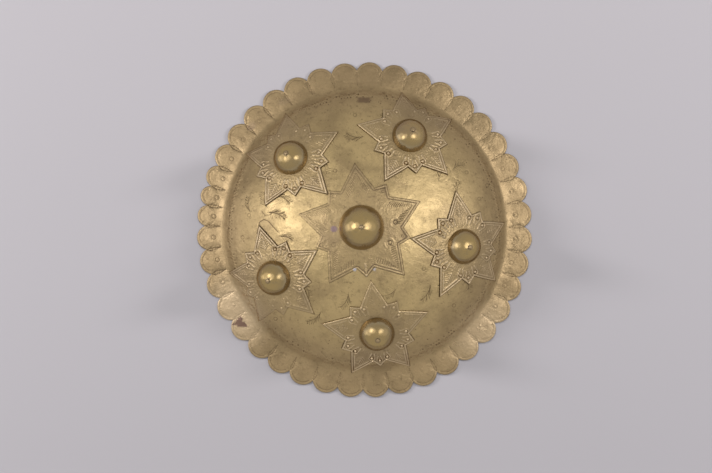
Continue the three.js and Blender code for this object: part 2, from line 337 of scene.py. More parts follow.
# On the flange each scallop is a shallow pillow with a bead along its edge, a line inside that and
# a ring with a dot. From each notch a hatched leaf runs down to the crease. Rings and leaves are
# clear at the sides and worn at the top and the bottom
bead_inset = 0.9
bead_width, bead_depth = 1.8, -0.24
edge_inset = 2.9
edge_width, edge_depth = 1.5, 0.19
ring_reach = 157.3
ring_radius = 2.2
ring_width, ring_depth = 1.6, 0.26
ring_dot_radius, ring_dot_depth = 1.0, -0.3
leaf_middle = 157
leaf_top, leaf_length = 165.8, 14.3
leaf_width, leaf_depth = 1.6, 0.34
hatch_width, hatch_depth = 1.15, 0.22
pillow_height = 0.34
twist_height = 0.16
crease_fill = 0.62
crease_spread = 3.4
body_lines = []
body_dots = []
ring = polar(ring_radius, np.linspace(0, 2 * math.pi, 17))
hand = np.random.default_rng(11)
for i in range(scallops):
    body_lines.append((scallop_arc(i, bead_inset, 25), bead_width, bead_depth))
    body_lines.append((scallop_arc(i, edge_inset, 19)[2:-2], edge_width, edge_depth))
    middle = notches[i] + pitches[i] / 2 + hand.normal(0, 0.003)
    at = polar(ring_reach + hand.normal(0, 0.5), np.array([middle]))[0]
    side_share = math.cos(middle) ** 2
    clear = 0.34 + (0.3 - 0.14 * math.cos(middle)) * side_share
    ring_clear = (0.25 + 0.65 * side_share**1.4) * (1 - 0.12 * math.cos(middle))
    body_lines.append((ring + at, ring_width, ring_depth * ring_clear))
    body_dots.append((at, ring_dot_radius, ring_dot_depth * ring_clear))
    down = np.linspace(0, 1, 8)
    strokes = []
    for bulge in (1.5 + hand.normal(0, 0.3), -1.1 + hand.normal(0, 0.3)):
        bow = bulge * np.sin(math.pi * down**0.8)
        strokes.append(np.column_stack([leaf_top - leaf_length * down, bow]))
    for r in np.linspace(154.0, 161.5, 4) + hand.normal(0, 0.3, 4):
        strokes.append(np.array([(r, -1.6), (r + 1.3, 1.6)]))
    for side in (-1, 1):
        strokes.append(np.array([(163.6, side * 0.9), (160.6, side * 3.0)]))
        strokes.append(np.array([(161.8, side * 1.4), (158.6, side * 3.3)]))
    lean = hand.normal(0, 0.05)
    for k, stroke in enumerate(strokes):
        path = turned(stroke - (leaf_middle, 0), lean) + (leaf_middle, 0)
        width, depth = (leaf_width, leaf_depth) if k < 2 else (hatch_width, hatch_depth)
        body_lines.append((turned(path, notches[i]), width, depth * clear))


twists = hand.normal(0, twist_height, scallops)


def hammered(points):
    """How far the scallops' pillows and the softened crease stand off the sheet's smooth form"""
    r = np.hypot(*points.T)
    angle = (np.arctan2(points[:, 1], points[:, 0]) - first_notch) % (2 * math.pi)
    i = np.searchsorted(notches - first_notch, angle, side="right") - 1
    across = (angle - notches[i] + first_notch) / pitches[i] * 2 - 1
    rise = np.clip((r - crease_end - 1) / 6, 0, 1)
    fill = crease_fill * np.exp(-(((r - crease_end) / crease_spread) ** 2))
    pillow = (pillow_height + twists[i] * across) * (1 - across**2)
    return fill + pillow * rise * rise * (3 - 2 * rise)


# Round the foot of the dome runs a rope: a raised zigzag between two rows of punched dots
rope_reach = 139.7
rope_turns = 270
rope_half = 1.0
rope_width, rope_depth = 1.3, -0.26
rope_dot_shift, rope_dot_radius = 1.6, 0.95
rope_steps = np.arange(2 * rope_turns + 1)
rope_angles = rope_steps * math.pi / rope_turns
rope = polar(rope_reach + rope_half * (1 - 2 * (rope_steps % 2)), rope_angles)
rope_part = 8
for start in range(0, 2 * rope_turns, rope_part):
    body_lines.append((rope[start:start + rope_part + 1], rope_width, rope_depth))
    for side in (-1, 1):
        for k in range(start // 2, min(start // 2 + rope_part // 2, rope_turns)):
            angle = (2 * k + (1 if side < 0 else 0)) * math.pi / rope_turns
            at = polar(rope_reach - side * rope_dot_shift, np.array([angle]))[0]
            body_dots.append((at, rope_dot_radius, hand.uniform(-0.28, 0.34)))


# Leaf sprays chased into the ground between the stars: a bowed stem with slanted strokes on both
# sides, given by the middle, the heading, the length, how wide it opens, the pairs of strokes and
# how clear they are
def spray(middle, heading, length, opening, pairs, clear=1.0):
    along = polar(1, np.array([heading * degrees]))[0]
    across = np.array([-along[1], along[0]])
    way = np.linspace(0, 1, 2 * pairs + 2)
    bow = (0.12 * length * np.sin(math.pi * way))[:, None]
    stem = middle + along * length * (way[:, None] - 0.5) + across * bow
    lines = [(stem, 1.1, 0.15 * clear)]
    for foot, share in zip(stem[1:-1], way[1:-1]):
        reach = length * 0.4 * (1 - share) ** 0.4 * (0.8 + 0.3 * hand.random())
        for side in (-1, 1):
            away = (heading + side * (28 + opening * 0.5) + hand.normal(0, 5)) * degrees
            end = foot + polar(reach, np.array([away]))[0]
            depth = (0.22 if side > 0 else 0.13) * clear * (0.8 + 0.4 * hand.random())
            lines.append((np.array([foot, end]), 1.05, depth))
    return lines


sprays = [
    ((-84, 31), -28, 18, 24, 5, 1.4), ((-90, 14), -22, 19, 28, 6, 1.5),
    ((-80, -9), -15, 13, 26, 4, 1.4),
    ((80, 57), 60, 19, 40, 5), ((97, 42), 80, 17, 30, 5), ((60, 76), 250, 16, 40, 4),
    ((24, -64), 205, 18, 40, 5), ((-21, -72), 240, 18, 40, 5), ((62, -64), 240, 20, 30, 6),
    ((-43, 64), 300, 18, 40, 5), ((-10, 97), 170, 19, 30, 6), ((12, 104), 20, 16, 40, 4),
    ((-101, 31), 100, 17, 40, 5), ((-52, -89), 215, 19, 30, 5), ((80, -62), 320, 17, 40, 5),
    ((-88, -64), 250, 15, 40, 4), ((104, -54), 290, 17, 40, 5), ((-118, 26), 95, 17, 30, 5),
    ((97, 64), 20, 15, 40, 4), ((24, 119), 185, 17, 30, 5), ((-60, -62), 300, 15, 40, 4),
]
for spot in sprays:
    body_lines += spray(*spot)

# A hump over the lower left star's tip, a bent stem beside it and half petals at the right
hump = [(-110.5, -4.0), (-108.9, 1.9), (-107.8, 7.6), (-103.2, 10.5), (-98.7, 8.8), (-88.4, -2.6)]
bent_stem = [(-105.4, 19.0), (-102.0, 14.4), (-97.5, 15.0), (-92.9, 18.4)]
body_lines += [(np.array(hump), 2.0, 0.3), (np.array(bent_stem), 1.6, 0.24)]
half_petal = polar(8.5, np.linspace(-1.3, 1.2, 9))
body_lines += [(half_petal + (80, 57), 1.5, 0.16), (half_petal * 0.7 + (88, 48), 1.3, 0.14)]
body_lines += [(half_petal * (-1, 1) + (-24, 92), 1.4, 0.14), (half_petal + (36, -104), 1.4, 0.12)]

# Small rings and loose dots in the ground
loose_dots = 420
dots_edge, dots_spread = 135.5, 12
for x, y in ((-119, 15), (105, 59), (127, 46), (-30, 60), (34, 78), (-64, -42), (60, -40),
             (5, -84), (-10, 118), (92, -78), (-126, -8), (118, 32), (-92, -92), (40, 122)):
    body_lines.append((ring * 0.8 + (x, y), 1.4, 0.2))
dot_angles = hand.uniform(0, 2 * math.pi, loose_dots)
dot_reaches = dots_edge - np.abs(hand.normal(0, dots_spread, loose_dots))
for spot in polar(dot_reaches, dot_angles):
    body_dots.append((spot, 0.9, hand.uniform(-0.16, 0.24)))

# Where the star plates lie on the body: the reach and angle of the middle, the angle of one long
# point and its length, the side on which the star is crisp, and how worn it is on the other side
star_words = ("reach", "angle", "turn", "long", "crisp", "worn")
stars = {
    "right": (102.8, -9.6, 99.5, 57.5, 190, 0.45),
    "upper_right": (106.5, 64.3, 97, 55.5, 265, 0.75),
    "upper_left": (105.5, 135.9, 99.5, 55.5, 285, 0.85),
    "lower_left": (105.5, 207.9, 104, 55.5, 82, 0.9),
    "bottom": (107.3, 276.7, 96.5, 57.5, 258, 0.75),
    "centre": (4.0, 147, 96, 65.5, 340, 0.6),
}
stars = {name: dict(zip(star_words, sizes)) for name, sizes in stars.items()}
long_points = 5
notch_from_short = 12 * degrees
outer_short, outer_notch = 40.5, 33.6
centre_short, centre_notch = 50.5, 42.0
laying_step = 1.0


def star_corners(long, short, notch, turn):
    step = math.pi / long_points
    corners = []
    for i in range(long_points):
        short_at = turn + (2 * i + 1) * step
        corners += [(long, short_at - step), (notch, short_at - notch_from_short),
                    (short, short_at), (notch, short_at + notch_from_short)]
    return np.concatenate([polar(r, np.array([angle])) for r, angle in corners])


def moved_in(corners, distance):
    """The corners with every edge moved in, or out by a negative distance"""
    before = corners - np.roll(corners, 1, axis=0)
    after = np.roll(corners, -1, axis=0) - corners
    before /= np.hypot(*before.T)[:, None]
    after /= np.hypot(*after.T)[:, None]
    inward = np.column_stack([-before[:, 1] - after[:, 1], before[:, 0] + after[:, 0]])
    return corners + inward * (distance / (1 + (before * after).sum(1)))[:, None]


def laid(star, points, heights):
    """Points of a flat plate beaten down on the dome, at the same distances along its curve"""
    reach, angle = star["reach"], star["angle"] * degrees
    heading = points * (math.cos(surface(np.array(reach))[1]), 1)
    heading = turned(heading / np.maximum(np.hypot(*heading.T), 1e-9)[:, None], angle)
    at = np.tile(polar(reach, np.array([angle])), (len(points), 1))
    left = np.hypot(*points.T)
    while left.max() > 0:
        r = np.maximum(np.hypot(*at.T), 1e-6)
        fall = np.tan(surface(r)[1]) * (at * heading).sum(1) / r
        at = at + heading * (np.clip(left, 0, laying_step) / np.hypot(1, fall))[:, None]
        left = left - laying_step
    return on_body(at, heights + uneven(*at.T))


def sharpened(corners, step):
    """A closed line through the corners, with points at even steps between them"""
    parts = []
    for a, b in zip(corners, np.roll(corners, -1, axis=0)):
        parts.append(spaced(np.array([a, b]), step)[:-1])
    return np.concatenate(parts)


# Each star is crisp towards one side and beaten flatter the further its points lie from it
plate_edge_loss = 0.7
edge_loss_width = 2.4
gap_closed = 0.7


def flattened(angle, crisp, worn):
    return worn * (0.5 - 0.5 * np.cos(angle - crisp))


# Painted shade and grime darken the body along the plates' edges
rim_part = 24
rim_width = 2.4
rim_shade_and_grime, worn_rim_loss = 0.28, 0.2
outline_step = 0.6
plate_rim_shade_and_grime = []
for name, star in stars.items():
    turn = (star["turn"] - star["angle"]) * degrees
    sizes = (centre_short, centre_notch) if name == "centre" else (outer_short, outer_notch)
    star["corners"] = star_corners(star["long"], *sizes, turn)
    rim = sharpened(star["corners"], outline_step)
    rim = laid(star, rim, np.zeros(len(rim)))[:, :2]
    centre = polar(star["reach"], np.array([star["angle"] * degrees]))[0]
    for start in range(0, len(rim), rim_part):
        part = rim[start:start + rim_part + 1]
        x, y = part.mean(0) - centre
        flat = flattened(math.atan2(y, x), star["crisp"] * degrees, star["worn"])
        plate_rim_shade_and_grime.append((part, rim_width, rim_shade_and_grime - worn_rim_loss * flat))

hole_radius = 1.8
ground_step = 2.1
ground_room = 0.9
guide_room = 0.36
under_step = 4.0
body_holes = [
    (polar(star["reach"], np.array([star["angle"] * degrees]))[0], hole_radius)
    for star in stars.values()
]
guides = [line_guides(path, width) for path, width, _ in body_lines + plate_rim_shade_and_grime]
guides += [dot_guides(middle, radius) for middle, radius, _ in body_dots]
guides = thinned(np.concatenate(guides), guide_room)
edge_room = 0.5
guides = guides[within(guides, outline, edge_room)]
plain = ground(rim_radius, ground_step)
plain = plain[within(plain, outline, edge_room)]
plain = clear_of(plain, guides, ground_room)
face_points = np.concatenate([guides, plain])
hole_middles = np.array([middle for middle, _ in body_holes])
hole_room = np.hypot(*(face_points[:, None] - hole_middles).transpose(2, 0, 1)).min(1)
face_points = face_points[hole_room > hole_radius + 0.3]
under_points = ground(rim_radius, under_step)
under_points = under_points[within(under_points, outline, 1.0)]
hole_room = np.hypot(*(under_points[:, None] - hole_middles).transpose(2, 0, 1)).min(1)
under_points = under_points[hole_room > hole_radius + 0.6]


# Grooves filled up with grime, and look deeper than they are. The cut edge is dull all round
groove_share = 0.6
edge_grime = -0.22


def body_face(points):
    relief = pressed(points, body_lines, body_dots)
    relief[:len(outline)] = edge_grime
    shape = np.where(relief < 0, relief * groove_share, relief)
    spots = on_body(points, shape + uneven(*points.T) + hammered(points))
    # The dark band along the plates' edges, painted shade and grime, goes into the colour only
    return spots, relief + pressed(points, plate_rim_shade_and_grime, [])


def body_under(points):
    waves = uneven(*points.T) * (np.hypot(*points.T) < crease_end - 5)
    return on_body(points, waves + hammered(points) - sheet), np.zeros(len(points))


body = cut_sheet("shield_body_sheet", outline, body_holes, face_points, under_points,
                 body_face, body_under)


def aged_brass(name, metal, tarnish, rubbed, roughness, relief_depth, grain=1.0, crown_light=None):
    """Old brass: clean on what stands proud, brown in what lies deep, cloudy in between, and
    lighter the higher it stands, which is painted light. The relief attribute also brings in
    painted shade, which turns brown like what lies deep
    """
    material = bpy.data.materials.new(name)
    material.use_nodes = True
    nodes, links = material.node_tree.nodes, material.node_tree.links
    shader = nodes["Principled BSDF"]
    shader.inputs["Metallic"].default_value = 1.0

    def node(kind, **values):
        made = nodes.new(kind)
        for key, value in values.items():
            setattr(made, key, value)
        return made

    def noise(scale, detail, rough=0.55):
        made = node("ShaderNodeTexNoise")
        made.inputs["Scale"].default_value = scale
        made.inputs["Detail"].default_value = detail
        made.inputs["Roughness"].default_value = rough
        links.new(place.outputs["Object"], made.inputs["Vector"])
        return made.outputs["Fac"]

    def ranged(source, low, high, to_low, to_high):
        made = node("ShaderNodeMapRange", interpolation_type="SMOOTHSTEP")
        for socket, value in zip(made.inputs[1:5], (low, high, to_low, to_high)):
            socket.default_value = value
        links.new(source, made.inputs[0])
        return made.outputs[0]

    def blend(share, first, second):
        made = node("ShaderNodeMix", data_type="RGBA")
        links.new(share, made.inputs[0])
        for socket, value in ((made.inputs[6], first), (made.inputs[7], second)):
            if isinstance(value, tuple):
                socket.default_value = (*value, 1)
            else:
                links.new(value, socket)
        return made.outputs[2]

    place = node("ShaderNodeTexCoord")
    relief = node("ShaderNodeAttribute", attribute_name="relief")
    height = node("ShaderNodeSeparateXYZ")
    links.new(place.outputs["Object"], height.inputs[0])
    # Painted light: the higher the surface stands, the more its colour goes to the lighter crown
    # brass
    crown_light_share = ranged(height.outputs["Z"], 0.008, 0.040, 0.0, 1.0)
    colour = blend(crown_light_share, metal, crown_light or metal)
    clouds = ranged(noise(26, 6, 0.65), 0.42, 0.68, 0.0, 0.6)
    colour = blend(clouds, colour, tuple(m * 0.55 + t * 0.45 for m, t in zip(metal, tarnish)))
    specks = ranged(noise(230, 5, 0.8), 0.52, 0.70, 0.0, 0.5)
    colour = blend(specks, colour, tarnish)
    deep = ranged(relief.outputs["Fac"], -relief_depth, -0.02, 0.85, 0.0)
    colour = blend(deep, colour, tarnish)
    proud = ranged(relief.outputs["Fac"], 0.05, relief_depth * 1.6, 0.0, 0.6)
    colour = blend(proud, colour, rubbed)
    patch = node("ShaderNodeAttribute", attribute_name="patch")
    colour = blend(patch.outputs["Alpha"], colour, patch.outputs["Color"])
    links.new(colour, shader.inputs["Base Color"])
    links.new(ranged(noise(60, 6), 0.3, 0.7, roughness - 0.07, roughness + 0.1),
              shader.inputs["Roughness"])
    bump = node("ShaderNodeBump")
    bump.inputs["Strength"].default_value = 0.35 * grain
    bump.inputs["Distance"].default_value = 0.0004
    links.new(noise(420, 5, 0.65), bump.inputs["Height"])
    soft = node("ShaderNodeBump")
    soft.inputs["Strength"].default_value = 0.5 * grain
    soft.inputs["Distance"].default_value = 0.0012
    links.new(noise(75, 3), soft.inputs["Height"])
    links.new(soft.outputs["Normal"], bump.inputs["Normal"])
    links.new(bump.outputs["Normal"], shader.inputs["Normal"])
    return material


# The last colour is the lighter brass painted on the dome's upper part: painted light
sheet_brass = aged_brass("sheet_brass", (0.41, 0.292, 0.15), (0.13, 0.088, 0.045),
                         (0.48, 0.35, 0.185), 0.33, 0.26, 1.15, (0.58, 0.425, 0.2))
body.data.materials.append(sheet_brass)
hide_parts("shield_body")
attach(body, "root")

# The star plates
# Ten-pointed stars of thinner sheet, five long points and five short ones, embossed from behind
# and beaten down on the dome. Each is held by its boss and one rivet.
plate = 1.0
plate_gap = 0.5
plate_clearance = 0.5
plate_step = 0.55
pearl_radius, pearl_height = 1.4, 1.05
pearl_ring = polar(2.0, np.linspace(0, 2 * math.pi, 13))


def folded(points, turn):
    """Points brought into the half of one long point: its axis along X, sideways always up"""
    sector = 2 * math.pi / long_points
    angle = np.arctan2(points[:, 1], points[:, 0]) - turn
    angle = np.abs((angle + sector / 2) % sector - sector / 2)
    return polar(1, angle) * np.hypot(*points.T)[:, None]


def unfolded(points, turn):
    """Points of that half repeated over the whole star"""
    angle = np.arctan2(points[:, 1], points[:, 0])
    points = points[(angle >= 0) & (angle <= math.pi / long_points)]
    both = np.concatenate([points, points * (1, -1)])
    copies = [turned(both, turn + k * 2 * math.pi / long_points) for k in range(long_points)]
    return np.concatenate(copies)


def petal(foot, head, foot_half, head_half):
    """The outline of a petal, up one side, round its head and down the other"""
    foot, head = np.array(foot, float), np.array(head, float)
    along = (head - foot) / np.hypot(*(head - foot))
    side = np.array([-along[1], along[0]])
    turn = np.linspace(-math.pi / 2, math.pi / 2, 9)
    arc = head + head_half * (np.cos(turn)[:, None] * along + np.sin(turn)[:, None] * side)
    return np.concatenate([[foot - side * foot_half], arc, [foot + side * foot_half]])


def row(tip, notch, inset):
    """The line inside a long edge at an inset: its start on the point's axis, its end at the notch,
    and the directions along and into the edge"""
    edge = (notch - tip) / np.hypot(*(notch - tip))
    inward = np.array([edge[1], -edge[0]]) * (-1 if edge[0] < 0 else 1)
    start = tip + inward * inset
    start = start - edge * (start[1] / edge[1])
    return start, notch + inward * inset, edge, inward


def outer_marks(long):
    """What is embossed on half a long point and half a short point of an outer star"""
    tip = np.array([long, 0.0])
    notch = outer_notch * np.array([math.cos(24 * degrees), math.sin(24 * degrees)])
    leaf_tip, leaf_foot, _, _ = row(tip, notch, 5.2)
    lines = [(np.array([[30.5, 0.0], [leaf_tip[0] - 2.0, 0.0]]), 1.5, -0.3)]
    for u in np.arange(31.0, leaf_tip[0] - 3.0, 2.5):
        far = (leaf_tip[0] - u) * (leaf_foot[1] / (leaf_tip[0] - leaf_foot[0]))
        reach = min(far, 4.4)
        lines.append((np.array([[u, 0.4], [u + reach * 0.7, reach]]), 1.4, -0.34))
    side_pearl = polar(29.8, np.array([19.5 * degrees]))[0]
    top_pearl = polar(32.8, np.array([36 * degrees]))[0]
    for pearl in (side_pearl, top_pearl):
        foot = pearl * (1 - 6.5 / np.hypot(*pearl))
        lines.append((petal(foot, pearl, 1.3, 3.1), 2.0, -0.5))
        lines.append((pearl_ring + pearl, 1.4, 0.2))
    for angle in (0, 11, 28):
        petal_foot, petal_head = polar(np.array([20.5, 24.0]), np.full(2, angle * degrees))
        lines.append((petal(petal_foot, petal_head, 0.5, 1.5), 1.5, -0.2))
    return lines, [(pearl, pearl_radius, -pearl_height) for pearl in (side_pearl, top_pearl)]


def centre_marks(long):
    """What is chased on half a long point and half a short point of the middle star"""
    tip = np.array([long, 0.0])
    notch = centre_notch * np.array([math.cos(24 * degrees), math.sin(24 * degrees)])
    lines = []
    start, foot, edge, inward = row(tip, notch, 4.8)
    length = np.hypot(*(foot - start))
    for s in np.arange(1.5, length - 2.0, 1.9):
        at = start + edge * s
        reach = min(5.6, at[1] * 0.8)
        end = at + (inward * 0.85 + edge * 0.5) * reach
        lines.append((np.array([at, end]), 1.2, 0.24))
    for k in range(4):
        at = polar(41.0 + 1.9 * k, np.array([36 * degrees]))[0]
        far = at + polar(3.0 - 0.55 * k, np.array([-15 * degrees]))[0]
        lines.append((np.array([at, far]), 1.2, 0.24))
    return lines, []


# Marks of the middle star that are not repeated: ring punches with curls, and a rib down its
# lowest short point
ring_spots = [(34.2, 5.3, 1.0), (28.6, -15.4, 1.0), (-27.9, -17.7, 0.6)]
centre_extras = []
for x, y, clear in ring_spots:
    curl_turn = np.linspace(0.4, 4.6, 12)
    curl = polar(3.6 + 0.55 * curl_turn, curl_turn + math.atan2(y, x))
    centre_extras.append((ring * 0.95 + (x, y), 1.6, 0.32 * clear))
    centre_extras.append((curl + (x, y), 2.1, -0.18 * clear))
rib = polar(np.array([37.0, 49.0]), np.full(2, 276 * degrees))
centre_extras.append((rib, 2.6, -0.4))
centre_turn = -stars["centre"]["angle"] * degrees
centre_extras = [(turned(path, centre_turn), w, d) for path, w, d in centre_extras]


# The last colour is the lighter brass painted on the plates' upper parts: painted light
plate_brass = aged_brass("plate_brass", (0.40, 0.288, 0.158), (0.14, 0.096, 0.055),
                         (0.74, 0.57, 0.36), 0.33, 0.4, 1.7, (0.45, 0.325, 0.16))
rail_insets = (0.5, 1.0, 1.5, 2.1, 2.7, 3.3, 3.9, 4.6)
# Heights across the border, everywhere along the edge and only on the long points, and the
# grime in its valleys
bead_insets = (0.0, 0.5, 1.0, 1.5, 2.1, 2.7, 3.3, 3.9, 4.6)
outer_profile = ((0.1, 0.48, 0.58, 0.44, 0.02, -0.06, 0, 0, 0),
                 (0, 0, 0, 0, 0, 0.3, 0.5, 0.34, 0))
centre_profile = ((0.05, 0.18, 0.22, 0.12, -0.08, -0.1, 0, 0, 0),
                  (0, 0, 0, 0, 0, 0.1, 0.18, 0.12, 0))
valleys = (-0.5, -0.1, 0, 0, -0.24, -0.2, 0, 0, 0)
# Foot radius and height of the bosses that cover the stars' middles
boss_sizes = dict.fromkeys(stars, (18.2, 14.5)) | {"centre": (22.8, 17.6)}
# A dark ring on each plate round its boss's foot: painted shade and grime
foot_shade_and_grime, foot_shade_width = 0.16, 1.6
crisp_share, share_ripple = 1.25, 0.06
hollow_grime = 0.5
tucked_face, tucked_under = 0.35, 0.1
punch_tries, punch_radius, punch_depth = 260, 0.95, 0.3
for name, star in stars.items():
    turn = (star["turn"] - star["angle"]) * degrees
    middle_one = name == "centre"
    short, notch = (centre_short, centre_notch) if middle_one else (outer_short, outer_notch)
    corners = star["corners"]
    edge = sharpened(corners, outline_step)
    lines, dots = centre_marks(star["long"]) if middle_one else outer_marks(star["long"])
    rails = [sharpened(moved_in(corners, inset), outline_step) for inset in rail_insets]
    extras = centre_extras if middle_one else []
    near = [line_guides(path, width) for path, width, _ in lines]
    near += [dot_guides(at, radius) for at, radius, _ in dots]
    near = unfolded(np.concatenate(near), turn)
    near = thinned(np.concatenate([near, *[line_guides(path, w) for path, w, _ in extras]]), 0.3)
    inner_line = moved_in(corners, rail_insets[-1])
    near = near[within(near, inner_line, 0.25)]
    foot_radius, _ = boss_sizes[name]
    fill = ground(star["long"], plate_step)
    fill = fill[within(fill, inner_line, 0.4) & (np.hypot(*fill.T) > foot_radius - 1.5)]
    fill = clear_of(fill, near, 0.4)
    hidden = ground(foot_radius - 1.5, 2.5)
    hidden = hidden[(np.hypot(*hidden.T) < foot_radius - 2.2) & (np.hypot(*hidden.T) > 2.6)]
    face = np.concatenate([*rails, near, fill, hidden])
    lower = ground(star["long"], 3.0)
    lower = lower[within(lower, corners, 1.0) & (np.hypot(*lower.T) > 3.0)]
    phase = hand.uniform(0, 2 * math.pi)
    punches = []
    if not middle_one:
        spots = hand.uniform(-star["long"], star["long"], (punch_tries, 2))
        spots = spots[within(spots, inner_line, 0.8) & (np.hypot(*spots.T) > foot_radius + 1)]
        punches = [(spot, punch_radius, hand.uniform(-punch_depth, punch_depth)) for spot in spots]
    crisp = (star["crisp"] - star["angle"]) * degrees
    covers = []
    if middle_one:
        covers = [other for key, other in stars.items() if key != "centre"]

    long_tip = np.array([star["long"], 0.0])
    near_notch = polar(notch, np.array([math.pi / long_points - notch_from_short]))[0]
    near_short = polar(short, np.array([math.pi / long_points]))[0]

    def plate_face(points):
        half = folded(points, turn)
        hollow = pressed(half, [line for line in lines if line[2] > 0], [])
        hollow += pressed(points, [line for line in extras if line[2] > 0], [])
        relief = pressed(half, lines, dots) + pressed(points, extras, punches)
        from_foot = np.hypot(*points.T) - foot_radius
        relief *= np.clip(from_foot / 3.0, 0.15, 1)
        inset = np.full(len(points), np.inf)
        for a, b in ((long_tip, near_notch), (near_notch, near_short)):
            share = np.clip((half - a) @ (b - a) / ((b - a) @ (b - a)), 0, 1)
            inset = np.minimum(inset, np.hypot(*(half - a - share[:, None] * (b - a)).T))
        on_point = np.clip((half[:, 0] - near_notch[0] - 0.5) / 3, 0, 1)
        profile = centre_profile if middle_one else outer_profile
        relief += np.interp(inset, bead_insets, profile[0])
        relief += np.interp(inset, bead_insets, profile[1]) * on_point
        angle = np.arctan2(points[:, 1], points[:, 0])
        flat = flattened(angle, crisp, star["worn"])
        wear = crisp_share - flat + share_ripple * np.sin(3 * angle + phase)
        relief *= wear
        thin = plate_edge_loss * flat * np.clip(1 - inset / edge_loss_width, 0, 1)
        base = plate_gap * (1 - gap_closed * flat) + plate - thin
        spots = laid(star, points, base + relief)
        relief += (hollow_grime * hollow + np.interp(inset, bead_insets, valleys)) * wear
        # Painted shade and grime round the boss's foot
        relief -= foot_shade_and_grime * np.clip(1 - np.abs(from_foot) / foot_shade_width, 0, 1)
        for other in covers:
            tucked = under_star(other, spots)
            if tucked.any():
                spots[tucked] = laid(star, points[tucked], np.full(tucked.sum(), tucked_face))
        return spots, relief

    def plate_under(points):
        angle = np.arctan2(points[:, 1], points[:, 0])
        heights = plate_gap * (1 - gap_closed * flattened(angle, crisp, star["worn"]))
        spots = laid(star, points, heights)
        for other in covers:
            tucked = under_star(other, spots)
            if tucked.any():
                spots[tucked] = laid(star, points[tucked], np.full(tucked.sum(), tucked_under))
        return spots, np.zeros(len(points))

    def under_star(other, spots):
        """Which spots lie below another star's plate and its clearance"""
        z, slope = surface(np.array(other["reach"]))
        angle = other["angle"] * degrees
        at = np.array([other["reach"] * math.cos(angle), other["reach"] * math.sin(angle), z])
        place = Matrix.Rotation(angle, 3, "Z") @ Matrix.Rotation(float(slope), 3, "Y")
        flat = (spots - at) @ np.array(place)
        return within(flat[:, :2], moved_in(other["corners"], -plate_clearance))

    piece = cut_sheet(f"star_{name}", edge, [((0, 0), hole_radius)], face, lower,
                      plate_face, plate_under)
    piece.data.materials.append(plate_brass)
    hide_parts(f"star_plate_{name}")
    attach(piece, "root")

# The bosses
# Hollow caps raised from sheet and polished, one over the middle of each star. The foot of each
# is filed to follow the plate, and its rivet goes through a hole at its top.
boss_wall = 1.2
gap = 0.3
foot_blend = 6
# Each boss is painted darker from a third of its radius out to its foot: painted shade. Its rivet
# has a dark ring of grime round it
edge_shade_start, edge_shade_width, edge_shade = 0.3, 0.48, 0.19
rivet_ring, rivet_ring_width, rivet_grime = 3.9, 0.8, 0.22
foot_tone_start, foot_tone_width = 0.78, 0.14
plate_top = plate_gap + plate


def star_place(star):
    """Where a star sits: on the body's face, its Z axis square to it"""
    z, slope = surface(np.array(star["reach"]))
    angle = star["angle"] * degrees
    at = Vector((star["reach"] * math.cos(angle), star["reach"] * math.sin(angle), float(z)))
    turn = Matrix.Rotation(angle, 4, "Z") @ Matrix.Rotation(float(slope), 4, "Y")
    return Matrix.Translation(at * MM) @ turn


def seat_height(place, x, y):
    """The height along the star's axis at which a spot seats on the plate, in millimetres"""
    wanted = plate_top + gap
    height = wanted
    for _ in range(4):
        spot = place @ Vector((x * MM, y * MM, height * MM)) / MM
        z, slope = surface(np.array(math.hypot(spot.x, spot.y)))
        height += wanted - (spot.z - float(z)) * math.cos(slope)
    return height


boss_brass = aged_brass("boss_brass", (0.44, 0.31, 0.13), (0.27, 0.212, 0.13),
                        (0.46, 0.34, 0.16), 0.19, 0.4, 0.2)
